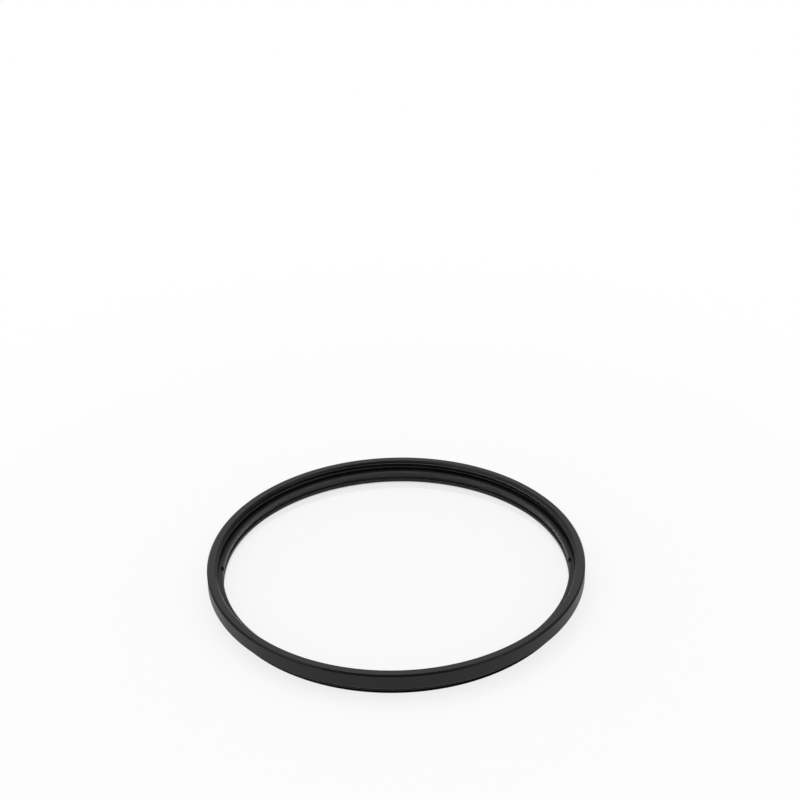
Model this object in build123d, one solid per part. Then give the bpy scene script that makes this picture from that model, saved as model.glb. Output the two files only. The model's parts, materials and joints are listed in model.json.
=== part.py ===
from build123d import *
import math
import os

# A slim screw-in UV filter for a camera lens: a turned ring with a male thread behind and a
# female thread in front, a clear glass on a seat inside it, and the flat ring that holds the
# glass down. Millimetres. The filter lies on its male thread's end, +Z runs out of its front,
# and the origin is at the middle of that end.

# The screw thread that both ends share: a fine metric thread, right-handed, with 60 degree flanks.
# The play is taken off the male thread's radius.
thread_diameter = 55.0
thread_pitch = 0.75
thread_play = 0.05
flank_angle = 60.0

# The ring, from its outer wall inwards and from its front to its back.
rim_wall = 1.1
front_chamfer = 0.25
rear_chamfer = 0.2
front_recess = 1.4
lead_in = 0.3
relief_width = 0.3
relief_depth = 0.06
male_length = 1.7
thread_end_chamfer = 0.3
thread_collar = 0.12
core_wall = 0.34
seat_height = 0.8
seat_width = 0.4
seat_flare = 0.3

# The cutter of the two threads: where it starts, in degrees round from the blank's own seam, how
# far it stands off the wall that it cuts, and how clear it keeps of the relief's floor. The cut
# ring is then turned about its axis, which sets where the front thread starts.
groove_start = 37.0
cutter_overlap = 0.03
cutter_margin = 0.05
ring_turn = 224.0

# The glass.
glass_thickness = 1.2
glass_clearance = 0.05
glass_bevel = 0.12

# The retaining ring, and the slot across each side of it that a spanner turns it by.
retainer_height = 0.8
retainer_width = 0.42
retainer_clearance = 0.03
retainer_edge = 0.1
slot_width = 1.0
slot_depth = 0.4

# Thread radii and crest flats, as the standard's shares of the pitch.
male_crest = thread_diameter / 2 - thread_play
male_root = male_crest - 0.6134 * thread_pitch
male_flat = thread_pitch / 8
female_root = thread_diameter / 2
female_crest = female_root - 0.5413 * thread_pitch
female_flat = thread_pitch / 4

# Radii and heights that follow.
rim_radius = female_root + rim_wall
relief_radius = female_root + relief_depth
pocket_radius = male_root - core_wall
glass_radius = pocket_radius - glass_clearance
seat_radius = glass_radius - seat_width
retainer_radius = pocket_radius - retainer_clearance
retainer_bore = retainer_radius - retainer_width

glass_top = seat_height + glass_thickness
retainer_top = glass_top + retainer_height
filter_height = retainer_top + front_recess


def turned(outline):
    """The solid that a half section, given as (radius, height) points, makes about the Z axis."""
    with BuildPart() as solid:
        with BuildSketch(Plane.XZ):
            with BuildLine():
                Polyline(*outline, close=True)
            make_face()
        revolve(axis=Axis.Z)
    return solid.part


def thread_cutter(wall_radius, root_radius, crest_flat, low, high):
    """A V section carried up a right-handed helix, with its mouth between low and high.

    The mouth lies on the wall and is one pitch less the crest's flat, and the point is cut off
    at the root.
    """
    outward = 1 if root_radius > wall_radius else -1
    flank_slope = math.tan(math.radians(flank_angle / 2))
    half_mouth = (thread_pitch - crest_flat) / 2
    half_floor = half_mouth - abs(root_radius - wall_radius) * flank_slope
    half_back = half_mouth + cutter_overlap * flank_slope
    back_radius = wall_radius - outward * cutter_overlap
    with BuildSketch(Plane.XZ) as section:
        with BuildLine():
            Polyline(
                (back_radius, -half_back),
                (back_radius, half_back),
                (root_radius, half_floor),
                (root_radius, -half_floor),
                close=True,
            )
        make_face()
    climb = Helix(pitch=thread_pitch, height=high - low - 2 * half_mouth, radius=wall_radius)
    cutter = sweep(section.sketch, path=climb, is_frenet=True)
    return Pos(0, 0, low + half_mouth) * Rot(0, 0, groove_start) * cutter


def ring_blank():
    """The ring before threading: rear spigot and seat, shoulder, smooth rim, front face and bore."""
    return turned([
        (seat_radius + seat_flare, 0),
        (male_crest - thread_end_chamfer, 0),
        (male_crest, thread_end_chamfer),
        (male_crest, male_length),
        (rim_radius - rear_chamfer, male_length),
        (rim_radius, male_length + rear_chamfer),
        (rim_radius, filter_height - front_chamfer),
        (rim_radius - front_chamfer, filter_height),
        (female_crest + lead_in, filter_height),
        (female_crest, filter_height - lead_in),
        (female_crest, retainer_top + relief_width),
        (relief_radius, retainer_top + relief_width),
        (relief_radius, retainer_top),
        (pocket_radius, retainer_top),
        (pocket_radius, seat_height),
        (seat_radius, seat_height),
        (seat_radius, seat_flare),
    ])


def filter_frame():
    """The turned ring, with its male thread cut behind and its female thread cut in front."""
    male = thread_cutter(
        male_crest,
        male_root,
        male_flat,
        low=-thread_pitch,
        high=male_length - thread_collar,
    )
    female = thread_cutter(
        female_crest,
        female_root,
        female_flat,
        low=retainer_top + cutter_margin,
        high=filter_height + thread_pitch,
    )
    return Rot(0, 0, ring_turn) * (ring_blank() - male - female)


def filter_glass():
    """The clear glass: a flat disc whose two edges are bevelled by grinding."""
    disc = Cylinder(glass_radius, glass_thickness, align=(Align.CENTER, Align.CENTER, Align.MIN))
    return Pos(0, 0, seat_height) * chamfer(disc.edges(), glass_bevel)


def retaining_ring():
    """The flat ring that holds the glass down, with a spanner slot across each side of it."""
    ring = turned([
        (retainer_bore, glass_top),
        (retainer_radius, glass_top),
        (retainer_radius, retainer_top),
        (retainer_bore + retainer_edge, retainer_top),
        (retainer_bore, retainer_top - retainer_edge),
    ])
    slots = Pos(0, 0, retainer_top) * Box(2 * rim_radius, slot_width, 2 * slot_depth)
    return ring - slots


os.makedirs("parts", exist_ok=True)
export_step(filter_frame(), "parts/filter_frame.step")
export_step(filter_glass(), "parts/filter_glass.step")
export_step(retaining_ring(), "parts/retaining_ring.step")
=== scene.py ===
# %% [markdown]
# A slim UV filter for a camera lens, dressed in Blender.
#
# The real filter is three pieces: a turned ring with a thread on each end, a clear glass, and a flat ring
# that holds the glass down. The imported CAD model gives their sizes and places, and this script reads them
# from it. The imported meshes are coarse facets, so each piece is built again here as a smooth surface of
# the same size.

import json
import math

import bmesh
import bpy
import numpy as np
from mathutils import Matrix, Vector


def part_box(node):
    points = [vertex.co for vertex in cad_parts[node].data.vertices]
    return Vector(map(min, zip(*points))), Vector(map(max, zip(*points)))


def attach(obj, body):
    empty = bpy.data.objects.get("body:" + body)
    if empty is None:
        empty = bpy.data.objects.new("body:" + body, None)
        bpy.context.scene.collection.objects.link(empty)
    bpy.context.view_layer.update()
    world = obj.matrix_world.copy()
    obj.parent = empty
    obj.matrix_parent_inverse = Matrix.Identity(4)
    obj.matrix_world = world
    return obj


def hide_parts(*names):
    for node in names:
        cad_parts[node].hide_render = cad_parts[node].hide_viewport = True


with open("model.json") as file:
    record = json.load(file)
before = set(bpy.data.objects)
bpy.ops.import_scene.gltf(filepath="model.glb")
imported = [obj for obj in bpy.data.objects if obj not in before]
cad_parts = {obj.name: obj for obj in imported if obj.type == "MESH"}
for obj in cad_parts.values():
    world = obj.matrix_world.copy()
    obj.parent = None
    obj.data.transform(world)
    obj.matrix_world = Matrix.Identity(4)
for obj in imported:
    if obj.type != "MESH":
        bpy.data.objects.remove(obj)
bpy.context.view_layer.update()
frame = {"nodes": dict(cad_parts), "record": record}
scene = bpy.context.scene
mm = 0.001
print("nodes", sorted(frame["nodes"]))

# %% [markdown]
# The camera comes first, because it decides how fine the rest has to be.
#
# A camera can be placed by eye, or worked out from the ellipses that the ring's edges make in the
# picture. The second was done here. The focal length is a choice, which the ring alone doesn't settle.
# The other values lie halfway between two fits that weighed the edges differently, and are rounded. The
# camera is turned first, and then moved back along the line of sight of one pixel, that of the middle of
# the front plane, so that the ring lies about where it lay in the photograph, with no lens shift.

# %% Camera
image_size = 800
focal_pixels = 1900
sensor_width = 36.0
camera_pitch = math.radians(30.35)
camera_roll = math.radians(-1.4)
camera_distance = 289 * mm
front_plane = 4.2 * mm
aim_point = Vector((0, 0, front_plane))
aim_pixel = (395.85, 556.9)

lens = bpy.data.cameras.new("camera")
lens.sensor_width = sensor_width
lens.lens = focal_pixels * sensor_width / image_size
lens.clip_start = 5 * mm
camera = bpy.data.objects.new("camera", lens)
scene.collection.objects.link(camera)
scene.camera = camera

turn = Matrix.Rotation(math.pi / 2 - camera_pitch, 3, "X") @ Matrix.Rotation(camera_roll, 3, "Z")
pixel_across = (aim_pixel[0] - image_size / 2) / focal_pixels
pixel_up = (image_size / 2 - aim_pixel[1]) / focal_pixels
sight = (turn @ Vector((pixel_across, pixel_up, -1))).normalized()
camera.matrix_world = Matrix.Translation(aim_point - camera_distance * sight) @ turn.to_4x4()
print("camera at", tuple(round(x / mm, 1) for x in camera.matrix_world.translation), "mm")

# %% [markdown]
# Materials are node trees, and long lists of node and link calls are hard to read.
#
# The two helpers below make them read as sums. A Tree adds any node with one method: the node's type, its
# settings, which are set first, and the values or links of its sockets. A Field wraps an output that
# holds a number, and arithmetic on it adds Math nodes, so that 1 - mask * 0.5 is written as just that.


# %% Shader maths as Python expressions
class Field:
    """A number that changes over a surface. Arithmetic on it adds Math nodes to its tree."""

    def __init__(self, tree, socket):
        self.tree = tree
        self.socket = socket

    def maths(self, operation, *terms, **settings):
        """One Math node on these terms."""
        settings["operation"] = operation
        return self.tree.node("ShaderNodeMath", settings, dict(enumerate(terms)))

    def __add__(self, other):
        return self.maths("ADD", self, other)

    def __sub__(self, other):
        return self.maths("SUBTRACT", self, other)

    def __rsub__(self, other):
        return self.maths("SUBTRACT", other, self)

    def __mul__(self, other):
        return self.maths("MULTIPLY", self, other)

    def __pow__(self, other):
        return self.maths("POWER", self, other)

    __radd__ = __add__
    __rmul__ = __mul__

    def larger(self, other):
        """The larger of two numbers."""
        return self.maths("MAXIMUM", self, other)

    def near(self, value, reach):
        """1 close to a value, and 0 from reach away on."""
        return self.maths("ABSOLUTE", self - value).step(reach, reach / 2)

    def step(self, low, high):
        """A smooth step from 0 at low to 1 at high, which may also be the lower of the two."""
        sockets = {"Value": self, "From Min": low, "From Max": high, "To Min": 0.0, "To Max": 1.0}
        return self.tree.node("ShaderNodeMapRange", {"interpolation_type": "SMOOTHSTEP"}, sockets)


class Tree:
    """The node tree of one material or world, emptied for a new start."""

    def __init__(self, owner):
        owner.use_nodes = True
        self.owner = owner
        self.nodes = owner.node_tree.nodes
        self.links = owner.node_tree.links
        self.nodes.clear()

    def node(self, kind, settings=None, sockets=None, output=0):
        """Adds a node with its settings, then its sockets' values or links, and wraps one output if any."""
        made = self.nodes.new(kind)
        for name, value in (settings or {}).items():
            if name == "stops":
                self.set_stops(made.color_ramp, value)
            else:
                setattr(made, name, value)
        for name, value in (sockets or {}).items():
            if isinstance(value, Field):
                self.links.new(value.socket, made.inputs[name])
            else:
                made.inputs[name].default_value = value
        return Field(self, made.outputs[output]) if made.outputs else None

    def set_stops(self, ramp, stops):
        """Gives a colour ramp its (place, colour) stops."""
        while len(ramp.elements) < len(stops):
            ramp.elements.new(1.0)
        for element, (place, colour) in zip(ramp.elements, stops):
            element.position = place
            element.color = colour

    def parts(self, vector):
        """The X, Y and Z of a vector, as three Fields."""
        split = self.nodes.new("ShaderNodeSeparateXYZ")
        self.links.new(vector.socket, split.inputs[0])
        return [Field(self, output) for output in split.outputs]


def grey(level):
    """A neutral colour, with its alpha."""
    return (level, level, level, 1.0)


def shade(colour, share):
    """A colour made darker or lighter, with its alpha."""
    return (*[part * share for part in colour], 1.0)


print("helpers ready")

# %% [markdown]
# The setting is a pale floor under soft studio light, with a white background.
#
# A white background could be had by turning the lamps up, but then the ring would be lit too strongly.
# Here the world and the floor look white only to rays that come from the camera, or from a reflection or
# through the glass, and they light the ring at a plain level. Close to the filter the floor shows more of
# its real light, which keeps a soft shadow under the ring, and further out it fades to white.
#
# A room that is white all round would give every bevel of the ring the same shine. A real one is darker
# overhead, at the sides and behind the camera, and black edges need that. So a mirrored ray sees the
# world fade to dark towards those sides, and a floor that is a little less white.


# %% World and floor
def ray_kinds(tree):
    """Two Fields: 1 for rays that show the world itself, and 1 for rays that show it in a mirror.

    A ray from the camera or through glass shows it itself. One through glass also counts as glossy, so it
    is taken out of the mirrored ones.
    """
    path = tree.nodes.new("ShaderNodeLightPath")
    kinds = ("Camera", "Transmission", "Glossy")
    straight, through, glossy = [Field(tree, path.outputs[f"Is {kind} Ray"]) for kind in kinds]
    return straight.larger(through), glossy * (1 - through)


room_level = 0.7
dark_front = (0.0, 1.0)
dark_sides = (0.2, 0.75)
side_dimming = 0.65
brightest, darkest = 0.68, 0.03
world = bpy.data.worlds.new("studio")
scene.world = world
room = Tree(world)
seen, mirrored = ray_kinds(room)
direction = room.node("ShaderNodeTexCoord", {}, {}, output="Generated")
x, y, z = room.parts(direction)
towards_front = (z - y).step(*dark_front)
towards_side = (x * x).step(*[reach**2 for reach in dark_sides])
mirrored_level = (brightest - (brightest - darkest) * towards_front) * (1 - side_dimming * towards_side)
room_light = room.node("ShaderNodeBackground", {}, {"Color": grey(1.0), "Strength": room_level})
white_wall = room.node("ShaderNodeBackground", {}, {"Color": grey(1.0), "Strength": 1.0})
studio = room.node("ShaderNodeBackground", {}, {"Color": grey(1.0), "Strength": mirrored_level})
lighting = room.node("ShaderNodeMixShader", {}, {0: mirrored, 1: room_light, 2: studio})
backdrop = room.node("ShaderNodeMixShader", {}, {0: seen, 1: lighting, 2: white_wall})
room.node("ShaderNodeOutputWorld", {}, {"Surface": backdrop})

floor_drop = 0.02 * mm
floor_reach = 3.0
shadow_reach = (40 * mm, 120 * mm)
floor_white = (0.8, 1.0)
mirrored_floor = 0.5
paper_colour = 0.92
floor_mesh = bpy.data.meshes.new("floor")
corner_signs = ((-1, -1), (1, -1), (1, 1), (-1, 1))
floor_corners = [(x * floor_reach, y * floor_reach, -floor_drop) for x, y in corner_signs]
floor_mesh.from_pydata(floor_corners, [], [(0, 1, 2, 3)])
floor = bpy.data.objects.new("floor", floor_mesh)
scene.collection.objects.link(floor)

paper = Tree(bpy.data.materials.new("floor_paper"))
place = paper.node("ShaderNodeTexCoord", {}, {}, output="Object")
x, y, z = paper.parts(place)
from_filter = paper.node("ShaderNodeMath", {"operation": "SQRT"}, {0: x * x + y * y})
fading = from_filter.step(*shadow_reach)
seen, mirrored = ray_kinds(paper)
share_white = (floor_white[0] + (floor_white[1] - floor_white[0]) * fading) * seen.larger(mirrored)
white_level = 1 - (1 - mirrored_floor) * mirrored
lit_paper = paper.node("ShaderNodeBsdfDiffuse", {}, {"Color": grey(paper_colour)})
plain_white = paper.node("ShaderNodeEmission", {}, {"Color": grey(1.0), "Strength": white_level})
paper_mix = paper.node("ShaderNodeMixShader", {}, {0: share_white, 1: lit_paper, 2: plain_white})
paper.node("ShaderNodeOutputMaterial", {}, {"Surface": paper_mix})
floor_mesh.materials.append(paper.owner)
print("floor and world ready")

# %% [markdown]
# Three soft boxes stand round the table, as in a product studio.
#
# A large one hangs high above and a little behind, where the glass doesn't mirror it to the camera of this
# script. Two weaker ones at the sides fill the walls. They are hidden from the camera, so that no view
# shows a lamp.


# %% Soft boxes
def soft_box(name, azimuth, elevation, distance, size, level):
    """A square lamp that faces the filter.

    Its level is the share of a white card's brightness that it gives. A card square to a lamp of power P
    at distance d shines as P over the square of pi d, so P is the level times that square.
    """
    lamp = bpy.data.lights.new(name, "AREA")
    lamp.shape = "SQUARE"
    lamp.size = size
    lamp.energy = level * (math.pi * distance) ** 2
    side, height = math.radians(azimuth), math.radians(elevation)
    away = Vector((math.sin(side) * math.cos(height), math.cos(side) * math.cos(height), math.sin(height)))
    made = bpy.data.objects.new(name, lamp)
    facing = away.to_track_quat("Z", "Y").to_matrix().to_4x4()
    made.matrix_world = Matrix.Translation(away * distance) @ facing
    made.visible_camera = False
    scene.collection.objects.link(made)


soft_box("soft_box_back", azimuth=-15, elevation=72, distance=0.8, size=0.4, level=0.2)
soft_box("soft_box_left", azimuth=-105, elevation=45, distance=0.7, size=0.4, level=0.06)
soft_box("soft_box_right", azimuth=115, elevation=40, distance=0.7, size=0.4, level=0.05)

# %% [markdown]
# Every piece of a filter is turned, so each surface is an outline carried round the axis.
#
# Blender's Spin or Screw tool could do that, but a grid of points worked out with numpy does more: the
# outline may change with the angle, which is what a thread does. The helpers below round an outline's
# corners, make the grid into a mesh, and merge the points where the grid meets itself.


# %% Outlines and grids
def rounded(corners, radius, steps=3, hold=0.02 * mm):
    """An open outline of (radius, height) points with its inner corners rounded by arcs.

    With unit directions a into a corner and b out of it, and turn t between them, the arc starts radius
    times the tangent of half t before the corner and ends as far after it. Its centre lies towards b - a,
    at radius over the cosine of half t. One more point is held just outside each end, so that smooth
    shading leaves the flats flat.
    """
    corners = np.asarray(corners, float)
    sides = np.diff(corners, axis=0)
    sides /= np.linalg.norm(sides, axis=1, keepdims=True)
    a, b, corner = sides[:-1], sides[1:], corners[1:-1]
    turn = np.arccos(np.clip((a * b).sum(1, keepdims=True), -1, 1))
    back = radius * np.tan(turn / 2)
    towards = (b - a) / np.linalg.norm(b - a, axis=1, keepdims=True)
    centre = corner + towards * radius / np.cos(turn / 2)
    start, end = corner - a * back - centre, corner + b * back - centre
    share = np.linspace(0, 1, steps + 1)[:, None, None]
    arc = centre + (np.sin((1 - share) * turn) * start + np.sin(share * turn) * end) / np.sin(turn)
    held = np.concatenate([[corner - a * (back + hold)], arc, [corner + b * (back + hold)]])
    inner = held.transpose(1, 0, 2).reshape(-1, 2)
    return np.concatenate([corners[:1], inner, corners[-1:]])


def ring_of(outline, angle):
    """The radius and height grids of a plain turned surface: the outline repeated at every angle."""
    return [np.repeat(outline[:, k:k + 1], len(angle), axis=1) for k in (0, 1)]


weld = 0.0001 * mm
crease = math.radians(38)


def piece_from_grid(name, radius, height, angle, zone=None):
    """A mesh object from grids of radius and height, whose columns stand at the given angles.

    Each cell of the grid is a face, in the material slot that zone gives for its row. Points that lie
    together are merged, which closes the seam, the poles and the ends of the thread's rows. Edges sharper
    than the crease stay sharp, and the rest is smooth.
    """
    points = np.stack([radius * np.cos(angle), radius * np.sin(angle), height], axis=-1)
    rows, columns = radius.shape
    index = np.arange(rows * columns).reshape(rows, columns)
    corners = [index[:-1, :-1], index[:-1, 1:], index[1:, 1:], index[1:, :-1]]
    faces = np.stack(corners, axis=-1).reshape(-1, 4)
    mesh = bpy.data.meshes.new(name)
    mesh.from_pydata(points.reshape(-1, 3).tolist(), [], faces.tolist())
    if zone is not None:
        mesh.polygons.foreach_set("material_index", np.repeat(zone, columns - 1).astype(np.int32))
    shell = bmesh.new()
    shell.from_mesh(mesh)
    bmesh.ops.remove_doubles(shell, verts=shell.verts, dist=weld)
    bmesh.ops.recalc_face_normals(shell, faces=shell.faces)
    open_edges = sum(not edge.is_manifold for edge in shell.edges)
    volume = shell.calc_volume(signed=True) / mm**3
    triangles = sum(len(face.verts) - 2 for face in shell.faces)
    shell.to_mesh(mesh)
    shell.free()
    mesh.shade_smooth()
    mesh.set_sharp_from_angle(angle=crease)
    made = bpy.data.objects.new(name, mesh)
    scene.collection.objects.link(made)
    print(f"{name}: {triangles} triangles, {open_edges} open edges, {volume:.1f} cubic millimetres")
    return made


# %% [markdown]
# The frame is the one piece that shows most: the black ring.
#
# It is turned from aluminium tube. The lathe cuts a spigot with the male thread behind, the wider smooth
# rim, and the female thread in front, which takes the next filter or a lens hood. Its sizes are read from
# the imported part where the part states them, and the rest are the shares of the pitch that a metric
# thread has.

# %% Sizes of the frame
frame_low, frame_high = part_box("filter_frame")
glass_low, glass_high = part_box("filter_glass")
ring_low, ring_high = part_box("retaining_ring")
mounts = {mount["name"]: mount for mount in frame["record"]["mounts"]}

rim_radius = frame_high.x
filter_height = frame_high.z
shoulder_height = mounts["seating_shoulder"]["pos_m"][2]
male_crest = mounts["male_thread"]["dims"]["r_mm"] * mm
female_crest = mounts["female_thread"]["dims"]["r_mm"] * mm
glass_radius = glass_high.x
glass_bottom, glass_top = glass_low.z, glass_high.z
retainer_radius = ring_high.x
retainer_top = ring_high.z

pitch = 0.75 * mm
male_depth = 0.6134 * pitch
female_depth = 0.5413 * pitch
flank_slope = math.tan(math.radians(30))
female_root = female_crest + female_depth

thread_collar = 0.12 * mm
cutter_margin = 0.05 * mm
front_chamfer = 0.25 * mm
rear_chamfer = 0.2 * mm
lead_in = 0.3 * mm
relief_width = 0.3 * mm
relief_radius = female_root + 0.06 * mm
end_chamfer = 0.3 * mm
pocket_radius = glass_radius + 0.05 * mm
seat_radius = glass_radius - 0.4 * mm
seat_flare = 0.3 * mm
print("rim radius", round(rim_radius / mm, 3), "height", round(filter_height / mm, 3))

# %% [markdown]
# A thread is a wall whose radius depends on height and angle together.
#
# It could be cut with a boolean, but a helical cutter leaves ragged faces. Here the wall's rows of points
# climb with the groove, one pitch a turn, so that every edge of the thread runs along a row. Level rows
# for the chamfers are put among them, and each column is sorted by height, which lets climbing and level
# rows cross cleanly. A row that would leave the wall is held at its end, where the merge takes it away.

# %% Thread walls
columns = 480
plain_columns = 360
angle = np.linspace(0, 2 * np.pi, columns + 1)
plain_angle = np.linspace(0, 2 * np.pi, plain_columns + 1)
climb = pitch * angle / (2 * np.pi)
edge_width = 0.015 * mm
edge_break = 0.03 * mm


def thread_heights(groove_height, half_floor, half_mouth, low, high, levels):
    """The heights of a threaded wall's rows, sorted in each column and held between low and high."""
    flank = half_mouth - half_floor
    edges = [edge + side * edge_width for edge in (half_floor, half_mouth) for side in (-1, 1)]
    offsets = np.array([*edges, half_floor + flank / 3, half_floor + flank * 2 / 3])
    offsets = np.concatenate([[0, pitch / 2], offsets, -offsets])
    first = math.floor((low - groove_height) / pitch) - 2
    last = math.ceil((high - groove_height) / pitch) + 1
    turns = groove_height + pitch * np.arange(first, last + 1)
    climbing = (turns[:, None] + offsets).reshape(-1, 1) + climb
    level = np.repeat(np.array(levels)[:, None], len(angle), axis=1)
    rows = np.sort(np.clip(np.concatenate([climbing, level]), low, high), axis=0)
    used = (rows > low).any(axis=1) & (rows < high).any(axis=1)
    ends = [np.full((1, len(angle)), low), np.full((1, len(angle)), high)]
    return np.concatenate([ends[0], rows[used], ends[1]])


def groove(height, groove_height, depth, half_floor, half_mouth, last_turn=None):
    """How deep the helical groove is at each height and angle.

    The nearest turn of its middle line lies at a whole number of pitches above its start, plus the climb.
    Within half the floor's width of that line the depth is full, it then falls along the straight flank,
    and past half the mouth's width it is nothing. Near last_turn the tool is drawn back, so the depth
    shrinks to nothing.
    """
    turns = (height - groove_height - climb) / pitch
    middle = groove_height + climb + pitch * np.round(turns)
    away = np.abs(height - middle)
    cut = depth * np.clip((half_mouth - away) / (half_mouth - half_floor), 0, 1)
    if last_turn is not None:
        drawn_back = np.clip((middle - last_turn) / run_out + 0.5, 0, 1)
        cut = np.clip(cut - drawn_back * depth, 0, None)
    return cut


run_out = 0.08 * pitch
female_half_mouth = (pitch - pitch / 4) / 2
female_half_floor = female_half_mouth - female_depth * flank_slope
male_half_mouth = (pitch - pitch / 8) / 2
male_half_floor = male_half_mouth - male_depth * flank_slope
print("groove mouths", round(2 * female_half_mouth / mm, 3), round(2 * male_half_mouth / mm, 3), "mm")

# %% [markdown]
# The frame's section is one closed walk: out along the bottom, up the male thread, out along the
# shoulder, up the rim, in over the front face, down the female thread, and down the inside past the seat
# of the glass.
#
# The plain stretches are outlines with rounded corners, and the two threads are walls of climbing rows.
# Where a thread breaks out through a chamfer, the smaller radius wins outside and the larger one inside,
# as the lathe leaves it.

# %% The frame
groove_phase = math.radians(261)
phase_climb = pitch * groove_phase / (2 * math.pi)
female_start = retainer_top + cutter_margin + female_half_mouth - phase_climb
male_start = male_half_mouth - pitch - phase_climb
male_last_turn = shoulder_height - thread_collar - male_half_mouth
outer_round = 0.04 * mm
inner_round = 0.02 * mm
face_overlap = 0.1 * mm
bottom_overlap = 0.05 * mm

male_levels = [edge_break, end_chamfer - edge_width, end_chamfer + edge_width]
male_height = thread_heights(
    male_start, male_half_floor, male_half_mouth, edge_break, shoulder_height, male_levels
)
male_cut = groove(male_height, male_start, male_depth, male_half_floor, male_half_mouth, male_last_turn)
male_radius = np.minimum(male_crest - male_cut, male_crest - end_chamfer + male_height)

cone_height = filter_height - lead_in
wall_low = retainer_top + relief_width + edge_break
wall_high = filter_height - edge_break
female_levels = [cone_height - edge_width, cone_height + edge_width]
female_height = thread_heights(
    female_start, female_half_floor, female_half_mouth, wall_low, wall_high, female_levels
)
female_cut = groove(female_height, female_start, female_depth, female_half_floor, female_half_mouth)
female_radius = np.maximum(female_crest + female_cut, female_crest + female_height - cone_height)

shoulder_and_rim = rounded([
    (male_crest, shoulder_height),
    (rim_radius - rear_chamfer, shoulder_height),
    (rim_radius, shoulder_height + rear_chamfer),
    (rim_radius, filter_height - front_chamfer),
    (rim_radius - front_chamfer, filter_height),
    (female_root + face_overlap, filter_height),
], radius=outer_round)
inside = rounded([
    (female_root + edge_break, retainer_top + relief_width),
    (relief_radius, retainer_top + relief_width),
    (relief_radius, retainer_top),
    (pocket_radius, retainer_top),
    (pocket_radius, glass_bottom),
    (seat_radius, glass_bottom),
    (seat_radius, seat_flare),
    (seat_radius + seat_flare, 0),
    (male_crest - male_depth - bottom_overlap, 0),
], radius=inner_round)

level_row = np.ones((1, len(angle)))
front_edge = (female_radius[-1:] + edge_break, filter_height * level_row)
relief_edge = (female_radius[:1] + edge_break / 2, (retainer_top + relief_width) * level_row)
bottom_edge = (male_radius[:1] - edge_break, 0 * level_row)
walk = [
    bottom_edge,
    (male_radius, male_height),
    ring_of(shoulder_and_rim, angle),
    front_edge,
    (female_radius[::-1], female_height[::-1]),
    relief_edge,
    ring_of(inside, angle),
    bottom_edge,
]
frame_radius = np.concatenate([radius for radius, height in walk])
frame_height = np.concatenate([height for radius, height in walk])
frame_piece = piece_from_grid("filter_ring", frame_radius, frame_height, angle)
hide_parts("filter_frame")
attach(frame_piece, "root")

# %% [markdown]
# The retaining ring lies on the glass and keeps it down.
#
# It is a thin washer, with a slot across each side that a two-pin spanner turns it by. The slots could be
# cut with a boolean box, but its top is one surface over the angle, so the top is simply lowered there,
# between two close pairs of columns that make the slots' walls.

# %% The retaining ring
retainer_width = 0.42 * mm
retainer_edge = 0.1 * mm
slot_width = 1.0 * mm
slot_depth = 0.4 * mm
slot_wall = 0.03 * mm
retainer_round = 0.025 * mm

retainer_bore = retainer_radius - retainer_width
middle_radius = (retainer_bore + retainer_radius) / 2
half_slot = math.asin(slot_width / 2 / middle_radius)
half_wall = slot_wall / 2 / middle_radius
slot_columns = [side * half_slot + wall * half_wall for side in (-1, 1) for wall in (-1, 1)]
slot_columns = np.array([centre + column for centre in (0, math.pi) for column in slot_columns])
retainer_angle = np.sort(np.concatenate([plain_angle, slot_columns % (2 * np.pi)]))

retainer_outline = rounded([
    (middle_radius, glass_top),
    (retainer_radius, glass_top),
    (retainer_radius, retainer_top),
    (retainer_bore + retainer_edge, retainer_top),
    (retainer_bore, retainer_top - retainer_edge),
    (retainer_bore, glass_top),
    (middle_radius, glass_top),
], radius=retainer_round, hold=0.01 * mm)
from_slot = np.abs((retainer_angle + np.pi / 2) % np.pi - np.pi / 2)
in_slot = np.clip((half_slot + half_wall - from_slot) / (2 * half_wall), 0, 1)
top = retainer_top - slot_depth * in_slot
ring_radius, ring_height = ring_of(retainer_outline, retainer_angle)
slotted_height = np.minimum(ring_height, top)
retainer_piece = piece_from_grid("spanner_ring", ring_radius, slotted_height, retainer_angle)
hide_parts("retaining_ring")
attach(retainer_piece, "root")

# %% [markdown]
# The glass is a flat polished disc with ground edges.
#
# A disc primitive would do for its faces, but its bevelled edge is ground and painted, and takes another
# finish. So the outline runs from the middle of the lower face round the edge to the middle of the upper
# one, and the rows of the edge go into a second material slot.

# %% The glass
glass_bevel = 0.12 * mm
polished_rings = np.array([0, 9, 18]) * mm
bevel_radius = glass_radius - glass_bevel
edge = [
    (bevel_radius, glass_bottom),
    (glass_radius, glass_bottom + glass_bevel),
    (glass_radius, glass_top - glass_bevel),
    (bevel_radius, glass_top),
]
lower = [(radius, glass_bottom) for radius in polished_rings]
upper = [(radius, glass_top) for radius in polished_rings[::-1]]
glass_outline = np.array([*lower, *edge, *upper])
edge_rows = (glass_outline[:-1, 0] >= bevel_radius) & (glass_outline[1:, 0] >= bevel_radius)
glass_grids = ring_of(glass_outline, plain_angle)
glass_piece = piece_from_grid("clear_disc", *glass_grids, plain_angle, zone=edge_rows)
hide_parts("filter_glass")
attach(glass_piece, "root")

# %% [markdown]
# Black anodised aluminium is a thin glassy layer, dyed black, over turned metal.
#
# A flat black would look like plastic. The turning marks run round the axis, so the pattern reads the
# distance from the axis and the height, and hardly changes along the circle. The dye takes unevenly by a
# few millimetres, which changes the gloss more than the colour.
#
# Thread crests and the edge that a spanner slips over are the first places to lose their dye. The lighter
# grey there is partly that wear and partly a painted highlight, standing in for the glint these edges
# catch, and it lets the crests read as fine lines from afar, as they do in the photograph. Each is a narrow
# ring, so it is given by its radius, its half width and its span of heights.


# %% Anodised finish
drift = 0.004
patch_size = 3 * mm
grain_size = 0.06 * mm
grain_share = 0.35


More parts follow.
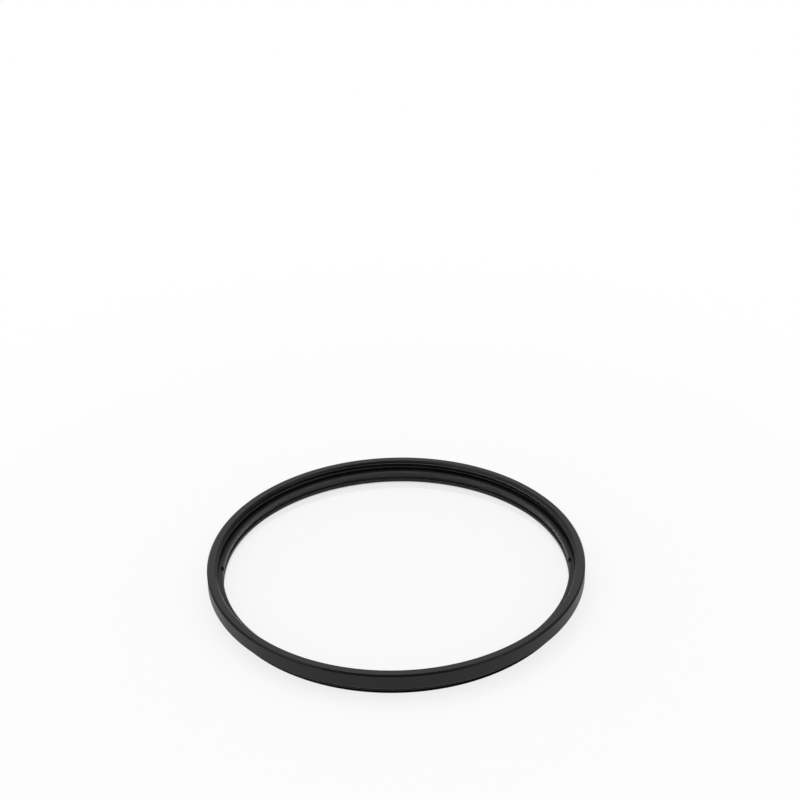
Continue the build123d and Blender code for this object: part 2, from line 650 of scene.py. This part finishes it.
def anodised(name, colour, roughness, mark_spacing, mark_height, worn_highlight_colour, worn_highlight_rings):
    """A dyed black finish: fine lathe rings in the bump, and soft uneven patches in gloss and colour.

    Each ring of wear and painted highlight is (radius, half width, low, high), and takes the lighter
    colour, which is partly worn dye and partly a painted highlight.
    """
    tree = Tree(bpy.data.materials.new(name))
    place = tree.node("ShaderNodeTexCoord", {}, {}, output="Object")
    x, y, z = tree.parts(place)
    from_axis = (x * x + y * y) ** 0.5
    along = tree.node("ShaderNodeCombineXYZ", {}, {0: from_axis + x * drift, 1: z + y * drift, 2: 0.0})
    marks = tree.node(
        "ShaderNodeTexNoise",
        {"noise_dimensions": "3D"},
        {"Vector": along, "Scale": 1 / mark_spacing, "Detail": 3.0, "Roughness": 0.6},
    )
    patches = tree.node(
        "ShaderNodeTexNoise",
        {"noise_dimensions": "3D"},
        {"Vector": place, "Scale": 1 / patch_size, "Detail": 3.0, "Roughness": 0.55},
    )
    grain = tree.node(
        "ShaderNodeTexNoise",
        {"noise_dimensions": "3D"},
        {"Vector": place, "Scale": 1 / grain_size, "Detail": 2.0, "Roughness": 0.5},
    )
    gloss = roughness + 0.10 * (patches - 0.5) + 0.30 * (marks - 0.5)
    tint = tree.node(
        "ShaderNodeValToRGB",
        {"stops": [(0.3, shade(colour, 0.82)), (0.7, shade(colour, 1.2))]},
        {"Fac": patches * 0.5 + marks * 0.5},
    )
    # Lighter rings at the given crests and edges: real dye loss and a painted highlight for the glint these
    # edges catch, both painted into the colour.
    wear_and_highlight = 0.0
    for radius, half_width, low, high in worn_highlight_rings:
        middle, half_span = (low + high) / 2, (high - low) / 2
        wear_and_highlight = wear_and_highlight + from_axis.near(radius, half_width) * z.near(middle, half_span)
    wear_and_highlight = wear_and_highlight * (0.5 + patches)
    mixed = {0: wear_and_highlight, 6: tint, 7: grey(worn_highlight_colour)}
    worn_and_highlit = tree.node("ShaderNodeMix", {"data_type": "RGBA"}, mixed, output=2)
    relief = tree.node(
        "ShaderNodeBump",
        {},
        {"Height": marks + grain_share * grain, "Strength": 0.6, "Distance": mark_height},
    )
    surface = tree.node(
        "ShaderNodeBsdfPrincipled",
        {},
        {"Base Color": worn_and_highlit, "Roughness": gloss, "Normal": relief, "IOR": 1.5},
    )
    tree.node("ShaderNodeOutputMaterial", {}, {"Surface": surface})
    return tree.owner


# Rings of wear and painted highlight: the crests of both threads, and the spanner ring's bore edge.
crest_reach = 0.03 * mm
below_edge = 3 * retainer_edge
thread_crests = [
    (female_crest, crest_reach, retainer_top + relief_width / 2, filter_height),
    (male_crest, crest_reach, 0, shoulder_height),
]
bore_edge = [
    (retainer_bore + retainer_edge / 2, retainer_edge, retainer_top - below_edge, filter_height),
]
black_anodised = anodised(
    "black_anodised",
    colour=(0.006, 0.006, 0.0065),
    roughness=0.30,
    mark_spacing=0.12 * mm,
    mark_height=0.012 * mm,
    worn_highlight_colour=0.045,
    worn_highlight_rings=thread_crests,
)
black_retainer = anodised(
    "black_retainer",
    colour=(0.01, 0.01, 0.0105),
    roughness=0.45,
    mark_spacing=0.07 * mm,
    mark_height=0.010 * mm,
    worn_highlight_colour=0.05,
    worn_highlight_rings=bore_edge,
)
frame_piece.data.materials.append(black_anodised)
retainer_piece.data.materials.append(black_retainer)
print("finishes", black_anodised.name, black_retainer.name)

# %% [markdown]
# The glass bends what lies behind it a little, and its coating takes most of the mirror away.
#
# Real refraction would leave a dark disc of shadow under it, because a lamp's light is looked for in a
# straight line. So rays that look for a lamp, and rays that gather soft light for the floor, pass
# straight through, and all the others see true glass. The ground edge is painted a dull black, as on some
# filters, so that no stray light comes out of it. That is a guess, made because the photograph shows no
# light line there.


# %% Glass finishes
def clear_glass(name, mirror, colour):
    """True glass for what is seen, and open air for rays that carry light to what lies behind."""
    tree = Tree(bpy.data.materials.new(name))
    path = tree.nodes.new("ShaderNodeLightPath")
    shadow, diffuse = (Field(tree, path.outputs[kind]) for kind in ("Is Shadow Ray", "Is Diffuse Ray"))
    sockets = {
        "Base Color": (*colour, 1.0),
        "Roughness": 0.0,
        "IOR": 1.52,
        "Transmission Weight": 1.0,
        "Specular IOR Level": mirror,
    }
    glass = tree.node("ShaderNodeBsdfPrincipled", {}, sockets)
    open_air = tree.node("ShaderNodeBsdfTransparent", {}, {"Color": (*colour, 1.0)})
    soft = tree.node("ShaderNodeMixShader", {}, {0: diffuse, 1: glass, 2: open_air})
    whole = tree.node("ShaderNodeMixShader", {}, {0: shadow, 1: soft, 2: open_air})
    tree.node("ShaderNodeOutputMaterial", {}, {"Surface": whole})
    return tree.owner


def dull_paint(name, level):
    """A dull black paint, a little uneven where the brush went round."""
    tree = Tree(bpy.data.materials.new(name))
    place = tree.node("ShaderNodeTexCoord", {}, {}, output="Object")
    stroke_size = 1.5 * mm
    strokes = tree.node(
        "ShaderNodeTexNoise", {}, {"Vector": place, "Scale": 1 / stroke_size, "Detail": 3.0}
    )
    stops = [(0.3, grey(level * 0.7)), (0.7, grey(level * 1.3))]
    tint = tree.node("ShaderNodeValToRGB", {"stops": stops}, {"Fac": strokes})
    sockets = {"Base Color": tint, "Roughness": 0.75 + 0.1 * strokes}
    paint = tree.node("ShaderNodeBsdfPrincipled", {}, sockets)
    tree.node("ShaderNodeOutputMaterial", {}, {"Surface": paint})
    return tree.owner


glass_piece.data.materials.append(clear_glass("coated_glass", 0.15, (0.997, 1.0, 0.998)))
glass_piece.data.materials.append(dull_paint("black_edge_paint", 0.015))
print("glass slots", [slot.name for slot in glass_piece.material_slots])

# %% [markdown]
# The last cell fixes how the picture is shown.
#
# The Standard view shows colours as they are written.

# %% View
scene.view_settings.view_transform = "Standard"
